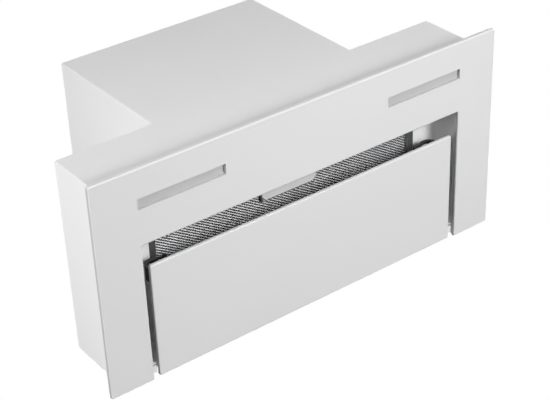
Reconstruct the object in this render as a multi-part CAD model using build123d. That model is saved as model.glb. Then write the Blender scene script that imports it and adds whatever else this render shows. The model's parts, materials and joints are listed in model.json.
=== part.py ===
from build123d import *
import math
import os

os.makedirs("parts", exist_ok=True)

# Built-in range hood as installed, in millimetres: +Z is up, -Y faces the cook, the fascia looks down.
# The origin is the centre of the fascia's lower face.

# Fascia
fascia_width = 598.0
fascia_depth = 287.2
front_strip = 98.3
side_strip = 59.5
opening_corner = 2.5
glass = 4.0
glass_edge_round = 1.8
glass_corner = 2.5
carrier = 2.0
carrier_inset = 1.0
carrier_play = 0.5
carrier_hem = 1.0

# Flap
flap_side_gap = 8.7
suction_gap = 32.0
flap_setback = 1.7
flap_rear_step = 0.1
flap_tray_inset = 5.0
flap_tray_height = 6.0
flap_tray_rear_gap = 19.6

# Casings
sheet = 1.0
bend = 1.5
fascia_side_overhang = 19.0
fascia_front_overhang = 20.2
fascia_rear_overhang = 4.6
body_height = 100.0
body_flange = 10.0
body_rear_notch = 8.0
motor_box_width = 298.6
motor_box_height = 210.5
motor_box_flange = 14.0
shelf_hole_radius = 2.75
shelf_hole_from_side = 65.0
shelf_hole_from_front = 46.2

# Recess pan above the flap
recess_depth = 46.0
recess_bend = 6.0
recess_flange = 10.0
recess_rear_gap = 12.0

# Lamps
lamp_slot_length = 119.0
lamp_slot_width = 14.0
lamp_slot_corner = 1.0
lamp_slot_offset = 44.1
lamp_slot_overlap = 0.5
lamp_holder_width = 26.0
lamp_holder_height = 16.0
lamp_holder_wall = 2.0
lamp_count = 9
lamp_chip = 3.0
board_sheet = 1.6

# Grease filter
filter_side_margin = 35.8
filter_margin = 14.0
filter_height = 9.0
filter_rail = 8.7
filter_rail_height = 4.0
filter_sheet = 0.8
filter_play = 0.6
mesh_pitch_x = 60.0
mesh_pitch_y = 32.0
mesh_web = 3.0
core_pitch = 13.0
tongue_length = 6.5
tongue_width = 30.0
tongue_inset = 58.7

# Filter latch
latch_width = 83.0
latch_corner = 5.1
latch_depth = 21.8
latch_setback = 5.0
latch_ridge = 2.0
latch_plate = 2.0
latch_travel = 6.0
latch_neck_width = 56.0
latch_neck_depth = 6.0
latch_neck_setback = 3.0
latch_bolt_width = 8.0
latch_bolt_spacing = 44.0
latch_bolt_reach = 5.4
latch_bolt_thickness = 1.6
latch_case_inset = 3.1
latch_case_depth = 20.5

# Flap hinge
hinge_axis_height = 9.0
hinge_axis_from_rear = 7.1
hinge_knuckle_radius = 2.5
hinge_pin_radius = 1.2
hinge_fit = 0.06
hinge_inset = 40.8
hinge_width = 34.0
hinge_middle_knuckle = 15.0
hinge_leaf = 1.5
hinge_leaf_reach = 24.0
hinge_bracket_height = 22.0

# Flap catch
catch_inset = 19.8
catch_width = 26.0
catch_depth = 20.0
catch_top = 35.0
catch_front_gap = 14.3
catch_wall = 2.4
catch_base = 2.8
catch_lug_width = 5.6
catch_roller_radius = 3.3
catch_roller_height = 24.0
catch_axle_radius = 1.2
catch_travel = 2.5
strike_radius = 3.0
strike_waist_radius = 2.4
strike_bottom = 19.0

# Blower
impeller_radius = 75.0
impeller_inner_radius = 60.0
impeller_length = 114.0
impeller_disc = 3.0
impeller_ring = 1.6
impeller_ring_width = 6.0
blade_count = 24
blade_thickness = 1.1
blade_sweep = 9.0
hub_radius = 12.0
hub_length = 16.0
shaft_radius = 4.0
blower_axis_y = -20.0
blower_floor_gap = 4.0
volute_start_radius = 80.0
volute_step = 9.0
volute_tongue_angle = 60.0
volute_inner_width = 124.0
volute_wall = 2.5
volute_rim = 4.0
volute_rim_thickness = 2.0
inlet_radius = 63.0
inlet_lip = 6.0
outlet_flange_half = 66.0

# Motor
motor_radius = 44.0
motor_bell_radius = 38.0
motor_length = 62.0
motor_stack = 26.0
shaft_end_gap = 7.0
motor_disc_gap = 14.0
motor_arm_width = 14.0
motor_arm_plate = 2.0
motor_mount_radius = 78.0
motor_mount_buffer_radius = 7.0
shaft_fit = 0.08
capacitor_radius = 15.0
capacitor_length = 62.0
capacitor_clip_sheet = 1.5
capacitor_clip_width = 18.0

# Duct collar
duct_radius = 74.5
duct_wall = 2.0
duct_height = 50.0
duct_flange_radius = 83.0
duct_flange = 2.5
duct_screw_radius = 79.0
damper_height = 14.0
damper_plate = 1.2
damper_tab = 2.0
damper_edge_gap = 0.6
damper_seat_width = 4.0
damper_seat_thickness = 1.5
damper_pin_radius = 1.5
damper_fit = 0.08
damper_knuckle_radius = 3.0

# Electrical parts
control_width = 150.0
control_depth = 52.0
control_height = 34.0
control_wall = 2.0
driver_length = 100.0
driver_height = 24.0
terminal_length = 62.0
terminal_height = 26.0
case_corner = 2.0
gland_from_side = 55.0
gland_from_rear = 34.0
gland_bore = 4.0
gland_thread_radius = 8.0
gland_hex_radius = 12.0
gland_collar = 6.0
gland_nut = 4.0
gland_cap = 9.0

# Fasteners and shared clearances
screw_radius = 1.75
screw_play = 0.15
running_gap = 0.3

# Places that follow from the sizes above
fascia_front = -fascia_depth / 2
fascia_rear = fascia_depth / 2
seat_z = glass + carrier
body_width = fascia_width - 2 * fascia_side_overhang
body_rear = fascia_rear - fascia_rear_overhang
body_front = fascia_front + fascia_front_overhang
body_depth = body_rear - body_front
body_mid_y = (body_front + body_rear) / 2
body_top = seat_z + body_height
box_top = body_top + motor_box_height
opening_front = fascia_front + front_strip
opening_width = fascia_width - 2 * side_strip
recess_half = opening_width / 2 - carrier_play
recess_front = opening_front + carrier_play
recess_rear = body_rear - recess_rear_gap - sheet
ledge_z = recess_depth
ledge_top = recess_depth + sheet
flap_rear = fascia_rear - flap_rear_step
flap_front = opening_front + suction_gap
flap_width = opening_width - 2 * flap_side_gap
hinge_spacing = flap_width - 2 * hinge_inset
catch_spacing = flap_width - 2 * catch_inset
filter_width = opening_width - 2 * filter_side_margin
tongue_spacing = filter_width - 2 * tongue_inset
latch_case_width = latch_width - 2 * latch_case_inset
flap_back_z = flap_setback + glass
flap_tray_floor = flap_back_z + sheet
hinge_y = fascia_rear - hinge_axis_from_rear
hinge_z = hinge_axis_height
filter_front = recess_front + filter_margin
filter_rear = recess_rear - filter_margin
filter_top = ledge_z + filter_height
mesh_z = ledge_z + filter_rail_height
lamp_y = fascia_front + lamp_slot_offset
lamp_x = opening_width / 2 + lamp_slot_overlap - lamp_slot_length / 2


# A box from its low and high ends along each axis
def block(x_ends, y_ends, z_ends):
    ends = (x_ends, y_ends, z_ends)
    middle = [(low + high) / 2 for low, high in ends]
    size = [high - low for low, high in ends]
    return Pos(*middle) * Box(*size)


# A rectangle from its low and high ends
def rectangle(x_ends, y_ends):
    width = x_ends[1] - x_ends[0]
    height = y_ends[1] - y_ends[0]
    return Pos(sum(x_ends) / 2, sum(y_ends) / 2) * Rectangle(width, height)


# A sketch drawn in Y and Z, given its depth along X
def along_x(sketch, start, end):
    return extrude(Plane.YZ.offset(start) * sketch, amount=end - start)


# A sketch drawn in X and Z, given its depth along Y
def along_y(sketch, start, end):
    return extrude(Plane.XZ.offset(-start) * sketch, amount=start - end)


# A sketch drawn in X and Y, given its depth along Z
def along_z(sketch, start, end):
    return extrude(Plane.XY.offset(start) * sketch, amount=end - start)


# One STEP file for one node
def save(name, shape):
    export_step(shape, f"parts/{name}.step")


# A right-hand piece and its mirror image as two nodes
def save_pair(name, right_shape):
    save(f"{name}_right", right_shape)
    save(f"{name}_left", mirror(right_shape, about=Plane.YZ))


# A folded box with one open underside and its sharp sides eased by the bend
def folded_box(half_width, front, rear, bottom, top):
    outer = block((-half_width, half_width), (front, rear), (bottom, top))
    outer = fillet(outer.edges().filter_by(Axis.Z), bend)
    hollow = block(
        (sheet - half_width, half_width - sheet),
        (front + sheet, rear - sheet),
        (bottom - sheet, top - sheet),
    )
    return outer - hollow


# A flat ring of sheet between two rectangles
def sheet_ring(outer_x, outer_y, rim, bottom, thickness):
    outer = rectangle((-outer_x, outer_x), outer_y)
    inner = rectangle((rim - outer_x, outer_x - rim), (outer_y[0] + rim, outer_y[1] - rim))
    return along_z(outer - inner, bottom, bottom + thickness)


def lamp_slots():
    slot = RectangleRounded(lamp_slot_length, lamp_slot_width, lamp_slot_corner)
    return Pos(lamp_x, lamp_y) * slot + Pos(-lamp_x, lamp_y) * slot


# The U-shaped outline that the glass and its carrier share
def fascia_outline(edge_inset, opening_growth):
    outer = RectangleRounded(
        fascia_width - 2 * edge_inset, fascia_depth - 2 * edge_inset, glass_corner
    )
    half = opening_width / 2 + opening_growth
    front = opening_front - opening_growth
    opening = rectangle((-half, half), (front, fascia_rear + glass))
    opening = fillet(opening.vertices().group_by(Axis.Y)[0], opening_corner)
    return outer - opening


def fascia_glass():
    panel = along_z(fascia_outline(0.0, 0.0), 0.0, glass)
    panel = fillet(panel.edges().group_by(Axis.Z)[0], glass_edge_round)
    return panel - along_z(lamp_slots(), -sheet, glass + sheet)


# Steel sheet bonded to the glass; its hem stands round the body's foot, where the cabinet's edges close
def fascia_carrier():
    outline = fascia_outline(carrier_inset, carrier_play)
    half = body_width / 2 + running_gap
    foot = rectangle((-half, half), (body_front - running_gap, body_rear + running_gap))
    slot = Rectangle(lamp_slot_length, lamp_slot_width)
    slots = Pos(lamp_x, lamp_y) * slot + Pos(-lamp_x, lamp_y) * slot
    return along_z(outline - slots, glass, seat_z) + along_z(outline - foot, seat_z, seat_z + carrier_hem)


def shelf_holes():
    spacing_x = body_width - 2 * shelf_hole_from_side
    spacing_y = body_depth - 2 * shelf_hole_from_front
    places = GridLocations(spacing_x, spacing_y, 2, 2)
    return [Pos(0, body_mid_y, body_top) * place * Cylinder(shelf_hole_radius, 4 * sheet) for place in places]


gland_x = body_width / 2 - gland_from_side
gland_y = body_rear - gland_from_rear


def body_casing():
    half = body_width / 2
    casing = folded_box(half, body_front, body_rear, seat_z, body_top)
    casing += sheet_ring(half, (body_front, body_rear), body_flange, seat_z, sheet)
    opening_half = motor_box_width / 2 - motor_box_flange
    opening_ends = (body_front + motor_box_flange, body_rear - motor_box_flange)
    casing -= block((-opening_half, opening_half), opening_ends, (body_top - 2 * sheet, body_top + sheet))
    # the flap's rear edge swings up through this notch
    notch_half = flap_width / 2 + running_gap * 4
    notch_top = seat_z + body_rear_notch
    rear_ends = (body_rear - body_flange - sheet, body_rear + sheet)
    casing -= block((-notch_half, notch_half), rear_ends, (seat_z - sheet, notch_top))
    casing -= Pos(gland_x, gland_y, body_top) * Cylinder(gland_thread_radius + screw_play, 4 * sheet)
    return casing - shelf_holes()


def motor_casing():
    half = motor_box_width / 2
    casing = folded_box(half, body_front, body_rear, body_top, box_top)
    casing += sheet_ring(half - sheet / 2, (body_front + sheet / 2, body_rear - sheet / 2), motor_box_flange, body_top, sheet)
    casing -= Pos(0, outlet_y, box_top) * Cylinder(duct_radius - duct_wall, 4 * sheet)
    return casing


# The pan that lines the recess: soft folds where its ledge meets the walls, and a hole for the filter
def recess_pan():
    outer_half = recess_half + sheet
    outer = block(
        (-outer_half, outer_half), (recess_front - sheet, recess_rear + sheet), (seat_z, ledge_top)
    )
    outer = fillet(outer.edges().group_by(Axis.Z)[-1], recess_bend + sheet)
    inner = block((-recess_half, recess_half), (recess_front, recess_rear), (seat_z - sheet, ledge_z))
    inner = fillet(inner.edges().group_by(Axis.Z)[-1], recess_bend)
    flange_front = recess_front - sheet - recess_flange
    flange = block(
        (-outer_half - recess_flange, outer_half + recess_flange),
        (flange_front, recess_rear + sheet),
        (seat_z, seat_z + sheet),
    )
    pan = outer + flange - inner
    filter_hole_half = filter_width / 2 + filter_play
    filter_hole_ends = (filter_front - filter_play, filter_rear + filter_play)
    pan -= block((-filter_hole_half, filter_hole_half), filter_hole_ends, (ledge_z - sheet, ledge_top + sheet))
    # the hinge leaves pass under the rear wall here
    leaf_half = hinge_width / 2 + 2 * running_gap
    for side in (-1, 1):
        centre = side * hinge_spacing / 2
        pan -= block(
            (centre - leaf_half, centre + leaf_half),
            (recess_rear - sheet, recess_rear + 2 * sheet),
            (seat_z - sheet, hinge_z + hinge_knuckle_radius),
        )
    return pan


# Lamp housing behind a slot, for the right-hand side
def lamp_holder():
    half_length = lamp_slot_length / 2 + 3 * lamp_holder_wall
    half_width = lamp_holder_width / 2
    shell = block(
        (lamp_x - half_length, lamp_x + half_length),
        (lamp_y - half_width, lamp_y + half_width),
        (seat_z, seat_z + lamp_holder_height),
    )
    shell = chamfer(shell.edges().filter_by(Axis.Z), lamp_holder_wall / 2)
    hollow = block(
        (lamp_x - half_length + lamp_holder_wall, lamp_x + half_length - lamp_holder_wall),
        (lamp_y - half_width + lamp_holder_wall, lamp_y + half_width - lamp_holder_wall),
        (seat_z - sheet, seat_z + lamp_holder_height - lamp_holder_wall),
    )
    return shell - hollow


# Frosted window that stands in the slot and rests its rim on the carrier
def lamp_diffuser():
    window = RectangleRounded(
        lamp_slot_length - 2 * running_gap, lamp_slot_width - 2 * running_gap, lamp_slot_corner
    )
    rim = Rectangle(lamp_slot_length + 2 * lamp_holder_wall, lamp_slot_width + 2 * lamp_holder_wall)
    window = along_z(window, glass, seat_z)
    return Pos(lamp_x, lamp_y) * (window + along_z(rim, seat_z, seat_z + lamp_holder_wall))


# Circuit board with its row of light emitters, hung from the holder's ceiling
def lamp_strip():
    board_top = seat_z + lamp_holder_height - lamp_holder_wall
    board_bottom = board_top - board_sheet
    board = block(
        (lamp_x - lamp_slot_length / 2, lamp_x + lamp_slot_length / 2),
        (lamp_y - lamp_slot_width / 2, lamp_y + lamp_slot_width / 2),
        (board_bottom, board_top),
    )
    pitch = lamp_slot_length / lamp_count
    for place in GridLocations(pitch, 1, lamp_count, 1):
        board += Pos(lamp_x, lamp_y, board_bottom - lamp_chip / 6) * place * Box(lamp_chip, lamp_chip, lamp_chip / 3)
    return board


# Frame of the grease filter: a rolled rail below, a thin wall and a top flange, with rear tongues
def filter_frame():
    half = filter_width / 2
    ends = (filter_front, filter_rear)
    frame = sheet_ring(half, ends, filter_rail, ledge_z, filter_rail_height)
    frame += sheet_ring(half, ends, filter_sheet, mesh_z, filter_height - filter_rail_height)
    frame += sheet_ring(half, ends, filter_rail / 2, filter_top - filter_sheet, filter_sheet)
    for side in (-1, 1):
        centre = side * tongue_spacing / 2
        frame += block(
            (centre - tongue_width / 2, centre + tongue_width / 2),
            (filter_rear - filter_sheet, filter_rear + tongue_length),
            (ledge_top, ledge_top + 1.5),
        )
        bolt = side * latch_bolt_spacing / 2
        bolt_half = latch_bolt_width / 2 + running_gap
        frame -= block(
            (bolt - bolt_half, bolt + bolt_half),
            (filter_front - sheet, filter_front + filter_rail + sheet),
            (latch_bolt_bottom - running_gap, latch_bolt_top + running_gap),
        )
    return frame


# Footprint of the mesh pack inside the frame, with room for the latch case
def mesh_outline(margin):
    half = filter_width / 2 - filter_sheet - margin
    ends = (filter_front + filter_sheet + margin, filter_rear - filter_sheet - margin)
    case_half = latch_case_width / 2 + margin + running_gap / 2
    case_rear = latch_case_rear + margin + running_gap / 2
    return rectangle((-half, half), ends) - rectangle((-case_half, case_half), (filter_front - sheet, case_rear))


# One expanded sheet: staggered diamonds between its strands
def expanded_sheet(bottom):
    field = mesh_outline(filter_rail)
    half_x = (mesh_pitch_x - mesh_web) / 2
    half_y = (mesh_pitch_y - mesh_web) / 2
    diamond = make_face(Polyline((-half_x, 0), (0, half_y), (half_x, 0), (0, -half_y), close=True))
    box = field.bounding_box()
    columns = int(box.size.X // mesh_pitch_x)
    rows = int(box.size.Y // (mesh_pitch_y / 2)) - 1
    cells = []
    for row in range(rows):
        y = box.center().Y + (row - (rows - 1) / 2) * mesh_pitch_y / 2
        shift = 0.5 if row % 2 else 0.0
        for column in range(columns):
            x = (column - (columns - 1) / 2 + shift - 0.25) * mesh_pitch_x
            clear_x = abs(x) > (latch_case_width + mesh_pitch_x) / 2
            clear_y = y > latch_case_rear + mesh_pitch_y / 2
            if clear_x or clear_y:
                cells.append(Pos(x, y) * diamond)
    return along_z(mesh_outline(running_gap) - cells, bottom, bottom + filter_sheet)


# The pleated foil between the two expanded sheets
def filter_core():
    low = mesh_z + filter_sheet
    high = filter_top - 2 * filter_sheet
    half = filter_width / 2 - filter_sheet - running_gap
    folds = int(2 * half // core_pitch)
    pitch = 2 * half / folds
    foil = 0.5
    lower = []
    for fold in range(folds):
        start = -half + fold * pitch
        lower += [(start, low), (start + pitch / 2, high - foil)]
    lower.append((half, low))
    upper = [(x, z + foil) for x, z in reversed(lower)]
    pleats = make_face(Polyline(*lower, *upper, close=True))
    pack = along_y(pleats, filter_front + filter_sheet + running_gap, filter_rear - filter_sheet - running_gap)
    case_half = latch_case_width / 2 + running_gap
    case_ends = (filter_front, latch_case_rear + running_gap)
    return pack - block((-case_half, case_half), case_ends, (low - 1, high + 1))


# Case of the latch, set between the filter's front rail and the mesh
def latch_case():
    half = latch_case_width / 2
    top = filter_top - filter_sheet
    case = block((-half, half), (latch_case_front, latch_case_rear), (ledge_z, top))
    hollow = block(
        (2 * sheet - half, half - 2 * sheet),
        (latch_case_front - sheet, latch_case_rear - 2 * sheet),
        (ledge_z + sheet, top - sheet),
    )
    neck_half = latch_neck_width / 2 + 2 * running_gap
    slot = block(
        (-neck_half, neck_half),
        (latch_neck_front - 2 * running_gap, latch_neck_front + latch_neck_depth + latch_travel + 2 * running_gap),
        (ledge_z - sheet, ledge_z + 2 * sheet),
    )
    return case - hollow - slot


# Sliding handle: ridged finger plate below the case, neck through its slot, carriage and two bolts
def latch_handle():
    plate_top = ledge_z - running_gap
    plate_bottom = plate_top - latch_plate
    half = latch_width / 2
    rear_half = half - latch_corner
    rear = latch_plate_front + latch_depth
    outline = Polyline(
        (-half, latch_plate_front),
        (half, latch_plate_front),
        (half, rear - latch_corner),
        (rear_half, rear),
        (-rear_half, rear),
        (-half, rear - latch_corner),
        close=True,
    )
    handle = along_z(make_face(outline), plate_bottom, plate_top)
    ridge_front = latch_plate_front + latch_ridge
    ridge_ends = (ridge_front, ridge_front + latch_ridge)
    handle += block((-rear_half, rear_half), ridge_ends, (plate_bottom - latch_ridge, plate_bottom))
    neck_half = latch_neck_width / 2
    neck_ends = (latch_neck_front, latch_neck_front + latch_neck_depth)
    handle += block((-neck_half, neck_half), neck_ends, (plate_top, latch_bolt_bottom))
    carriage_half = latch_case_width / 2 - 4 * sheet
    carriage_ends = (latch_case_front + sheet, neck_ends[1])
    handle += block((-carriage_half, carriage_half), carriage_ends, (latch_bolt_bottom, latch_bolt_top))
    for side in (-1, 1):
        centre = side * latch_bolt_spacing / 2
        handle += block(
            (centre - latch_bolt_width / 2, centre + latch_bolt_width / 2),
            (filter_front - filter_play - latch_bolt_reach, carriage_ends[0]),
            (latch_bolt_bottom, latch_bolt_top),
        )
    return handle


# Two bent leaf springs that push the carriage forwards
def latch_springs():
    start = latch_neck_front + latch_neck_depth
    end = latch_case_rear - 2 * sheet
    half = latch_case_width / 2 - 5 * sheet
    leaf = 0.5
    bow = [(-half, end - leaf), (-half * 0.62, start), (-half * 0.5, start), (-half * 0.12, end - leaf)]
    back = [(x, y + leaf) for x, y in reversed(bow)]
    spring = along_z(make_face(Polyline(*bow, *back, close=True)), latch_bolt_bottom, latch_bolt_top)
    return Compound(children=[spring, mirror(spring, about=Plane.YZ)])


latch_bolt_bottom = ledge_top + running_gap
latch_bolt_top = latch_bolt_bottom + latch_bolt_thickness
latch_case_front = filter_front + filter_rail
latch_case_rear = latch_case_front + latch_case_depth
latch_plate_front = filter_front + latch_setback
latch_neck_front = latch_case_front + latch_neck_setback


# Flap: glass panel with a steel tray bonded to its back
def flap_glass():
    outline = RectangleRounded(flap_width, flap_rear - flap_front, glass_corner)
    panel = along_z(Pos(0, (flap_front + flap_rear) / 2) * outline, flap_setback, flap_back_z)
    return fillet(panel.edges().group_by(Axis.Z)[0], glass_edge_round)


def flap_tray():
    half = flap_width / 2 - flap_tray_inset
    ends = (flap_front + flap_tray_inset, flap_rear - flap_tray_rear_gap)
    tray = block((-half, half), ends, (flap_back_z, flap_back_z + flap_tray_height))
    tray = fillet(tray.edges().filter_by(Axis.Z), bend)
    tray -= block(
        (sheet - half, half - sheet),
        (ends[0] + sheet, ends[1] - sheet),
        (flap_tray_floor, flap_back_z + flap_tray_height + sheet),
    )
    leaf_half = hinge_width / 2 + running_gap
    for side in (-1, 1):
        centre = side * hinge_spacing / 2
        tray -= block(
            (centre - leaf_half, centre + leaf_half),
            (ends[1] - 2 * sheet, ends[1] + sheet),
            (flap_tray_floor, flap_back_z + flap_tray_height + sheet),
        )
    return tray


# Moving leaf of the right-hand hinge, screwed down on the tray's floor
def hinge_leaf_piece():
    centre = hinge_spacing / 2
    half = hinge_width / 2
    tray_rear = flap_rear - flap_tray_rear_gap
    leaf = block(
        (centre - half, centre + half),
        (tray_rear - hinge_leaf_reach, hinge_y - hinge_knuckle_radius - 2 * running_gap),
        (flap_tray_floor, flap_tray_floor + hinge_leaf),
    )
    tab_half = hinge_middle_knuckle / 2
    leaf += block(
        (centre - tab_half, centre + tab_half),
        (tray_rear, hinge_y),
        (flap_tray_floor, flap_tray_floor + hinge_leaf),
    )
    eye = Pos(hinge_y, hinge_z) * Circle(hinge_knuckle_radius)
    leaf += along_x(eye, centre - tab_half, centre + tab_half)
    bore = Pos(hinge_y, hinge_z) * Circle(hinge_pin_radius + hinge_fit)
    return leaf - along_x(bore, centre - half, centre + half)


# Fixed part of the right-hand hinge on the body's rear wall, with the two outer knuckles
def hinge_bracket_piece():
    centre = hinge_spacing / 2
    half = hinge_width / 2
    middle_half = hinge_middle_knuckle / 2 + running_gap
    wall = body_rear - sheet
    top = hinge_z + hinge_knuckle_radius + hinge_bracket_height
    plate = block((centre - half, centre + half), (wall - hinge_leaf, wall), (hinge_z, top))
    plate -= block(
        (centre - middle_half, centre + middle_half),
        (wall - 2 * hinge_leaf, wall + sheet),
        (hinge_z - sheet, hinge_z + hinge_knuckle_radius + 2 * running_gap),
    )
    eye = Pos(hinge_y, hinge_z) * Circle(hinge_knuckle_radius)
    plate += along_x(eye, centre - half, centre - middle_half)
    plate += along_x(eye, centre + middle_half, centre + half)
    bore = Pos(hinge_y, hinge_z) * Circle(hinge_pin_radius)
    return plate - along_x(bore, centre - half - sheet, centre + half + sheet)


def hinge_pin_piece():
    half = hinge_width / 2
    return along_x(
        Pos(hinge_y, hinge_z) * Circle(hinge_pin_radius), hinge_spacing / 2 - half, hinge_spacing / 2 + half
    )


catch_front = flap_front + catch_front_gap
catch_left = catch_spacing / 2 - catch_width / 2
catch_right = catch_left + catch_width
catch_roller_x = catch_left + catch_wall + catch_travel + 2 * running_gap + catch_roller_radius + sheet / 2
strike_x = catch_roller_x + catch_roller_radius + running_gap + strike_radius
strike_y = catch_front + catch_depth * 0.62


# Right-hand roller catch: arched front with a window, side cheeks, and a lug that houses the spring
def catch_body_piece():
    arch_radius = catch_width / 2 - sheet
    arch = rectangle((catch_left, catch_right), (flap_tray_floor, catch_top))
    arch = fillet(arch.vertices().group_by(Axis.Y)[-1], arch_radius)
    body = along_y(arch, catch_front, catch_front + catch_depth)
    hollow_x = (catch_left + catch_wall, strike_x + strike_radius + 2 * running_gap)
    hollow = rectangle(hollow_x, (flap_tray_floor + catch_base, catch_top + sheet))
    body -= along_y(hollow, catch_front + catch_wall, catch_front + catch_depth - catch_wall)
    strike_lane = rectangle(
        (strike_x - strike_radius - running_gap / 2, hollow_x[1]), (catch_roller_height - 7.0, catch_top + sheet)
    )
    body -= along_y(strike_lane, catch_front + catch_wall, catch_front + catch_depth + sheet)
    window = rectangle(
        (hollow_x[0] + sheet, hollow_x[1]), (catch_roller_height - 6.0, catch_roller_height + 5.0)
    )
    body -= along_y(window, catch_front - sheet, catch_front + catch_wall + sheet)
    slot_width = 2 * catch_axle_radius + 0.2
    slot = Pos(catch_roller_x - catch_travel / 2, catch_roller_height) * SlotCenterToCenter(catch_travel, slot_width)
    body -= along_y(slot, catch_front + catch_depth - 2 * catch_wall, catch_front + catch_depth + sheet)
    lug_right = catch_left - sheet
    lug = rectangle((lug_right - catch_lug_width, lug_right), (flap_tray_floor, catch_top - 2.0))
    lug = fillet(lug.vertices().group_by(Axis.Y)[-1], catch_lug_width / 2 - 0.1)
    body += along_y(lug, catch_front + sheet, catch_front + catch_depth / 2)
    body += block(
        (lug_right - catch_lug_width, catch_left + sheet),
        (catch_front + sheet, catch_front + catch_depth - sheet),
        (flap_tray_floor, flap_tray_floor + catch_base),
    )
    return body


def catch_roller_piece():
    start = catch_front + catch_wall + 2 * sheet
    end = catch_front + catch_depth - catch_wall - running_gap
    place = Pos(catch_roller_x, catch_roller_height)
    roller = along_y(place * Circle(catch_roller_radius), start, end)
    return roller + along_y(place * Circle(catch_axle_radius), end - sheet, end + catch_wall)


# Bowed leaf spring between the cheek and the roller
def catch_spring_piece():
    leaf = 0.4
    cheek = catch_left + catch_wall
    crest = catch_roller_x - catch_roller_radius - leaf - running_gap / 3
    half = catch_roller_radius * 1.6
    z = catch_roller_height
    bow = ThreePointArc((cheek, z - half), (crest, z), (cheek, z + half))
    back = ThreePointArc((cheek, z + half + leaf), (crest + leaf, z), (cheek, z - half - leaf))
    leaf_face = make_face(bow + Line(bow @ 1, back @ 0) + back + Line(back @ 1, bow @ 0))
    middle = catch_front + catch_depth / 2
    return along_y(leaf_face, middle - 2.5, middle + 2.5)


# Stud on the ledge, with a head below its waist that the roller grips
def strike_piece():
    profile = Polyline(
        (0, strike_bottom),
        (strike_radius, strike_bottom),
        (strike_radius, strike_bottom + strike_radius),
        (strike_waist_radius, strike_bottom + strike_radius),
        (strike_waist_radius, ledge_z),
        (0, ledge_z),
        close=True,
    )
    return Pos(strike_x, strike_y) * revolve(Plane.XZ * make_face(profile), Axis.Z)


# Volute: four tangent arcs whose centres step round a square, so the radius grows by one step a quarter
volute_bottom_reach = volute_step / 2 + volute_start_radius + 2 * volute_step + volute_wall
blower_z = body_top + sheet + blower_floor_gap + volute_bottom_reach
outlet_top = box_top - sheet
tongue_y = volute_start_radius * math.cos(math.radians(volute_tongue_angle)) - volute_step / 2
outlet_outer_y = volute_step / 2 + volute_start_radius + 3 * volute_step
outlet_y = blower_axis_y + (tongue_y + volute_wall + outlet_outer_y) / 2


# The volute's outline in Y and Z about the impeller's axis, grown outwards by a wall
def volute_outline(growth):
    half = volute_step / 2
    centres = ((-half, half), (-half, -half), (half, -half), (half, half))
    radii = [volute_start_radius + growth + step * volute_step for step in range(4)]
    inner_y = tongue_y + volute_wall - growth
    tongue_rise = math.sqrt(radii[0] ** 2 - (inner_y - centres[0][0]) ** 2)
    tongue_angle = math.degrees(math.atan2(tongue_rise, inner_y - centres[0][0]))
    top = outlet_top - blower_z
    arcs = CenterArc(centres[0], radii[0], tongue_angle, 90 - tongue_angle)
    for quarter in (1, 2, 3):
        arcs += CenterArc(centres[quarter], radii[quarter], 90 * quarter, 90)
    outer_y = centres[3][0] + radii[3]
    tongue = (inner_y, centres[0][1] + tongue_rise)
    arcs += Polyline((outer_y, centres[3][1]), (outer_y, top), (inner_y, top), tongue)
    return Pos(blower_axis_y, blower_z) * make_face(arcs)


# Right-hand half of the blower housing, closed by a side wall with a lipped inlet
def volute_half():
    half_width = volute_inner_width / 2
    inside = volute_outline(0.0)
    outside = volute_outline(volute_wall)
    shell = along_x(outside, 0.0, half_width + volute_wall) - along_x(inside, -sheet, half_width)
    rim = along_x(volute_outline(volute_wall + volute_rim), 0.0, volute_rim_thickness)
    rim -= along_x(inside, -sheet, volute_rim_thickness + sheet)
    flange = block(
        (0.0, outlet_flange_half),
        (outlet_y - outlet_flange_half, outlet_y + outlet_flange_half),
        (outlet_top - volute_wall, outlet_top),
    )
    flange -= along_x(inside, -sheet, half_width)
    inlet = Pos(blower_axis_y, blower_z) * Circle(inlet_radius)
    lip_ring = Pos(blower_axis_y, blower_z) * Circle(inlet_radius + inlet_lip)
    side = half_width + volute_wall
    shell += along_x(lip_ring, side, side + inlet_lip)
    shell = shell + rim + flange
    return shell - along_x(inlet, half_width - sheet, side + inlet_lip + sheet)


def duct_screw_places():
    return [Pos(0, outlet_y) * place for place in PolarLocations(duct_screw_radius, 4, start_angle=45)]


def duct_screw_holes():
    hole = Pos(0, 0, box_top) * Cylinder(screw_radius + screw_play, 12 * sheet)
    return [place * hole for place in duct_screw_places()]


# Outline of one blade in Y and Z: two flats, the outer one bent forwards
def blade_outline():
    root = impeller_inner_radius
    tip = impeller_radius - running_gap
    middle = (root + tip) / 2
    lead = math.degrees(blade_thickness / middle)
    stations = ((root, 0.0), (middle, blade_sweep / 4), (tip, blade_sweep))

    def polar(radius, angle):
        turn = math.radians(angle)
        return (radius * math.cos(turn), radius * math.sin(turn))

    back = [polar(radius, angle) for radius, angle in stations]
    face = [polar(radius, angle + lead) for radius, angle in reversed(stations)]
    return make_face(Polyline(*back, *face, close=True))


# Right-hand blade row of the double-inlet impeller, from its disc to its end ring
def blade_row():
    blades = Sketch() + [place * blade_outline() for place in PolarLocations(0, blade_count)]
    end = impeller_length / 2
    ring = Circle(impeller_radius) - Circle(impeller_radius - impeller_ring_width)
    row = along_x(blades, impeller_disc / 2, end - impeller_ring)
    row += along_x(ring, end - impeller_ring, end)
    return Pos(0, blower_axis_y, blower_z) * row


# Disc between the two blade rows, with the hub that takes the shaft
def impeller():
    wheel = along_x(Circle(impeller_radius), -impeller_disc / 2, impeller_disc / 2)
    wheel += along_x(Circle(hub_radius), 0, hub_length)
    wheel -= along_x(Circle(shaft_radius), -hub_length, 2 * hub_length)
    return Pos(0, blower_axis_y, blower_z) * wheel


motor_front = -motor_disc_gap
motor_back = motor_front - motor_length
mount_plane = -(volute_inner_width / 2 + volute_wall)


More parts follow.
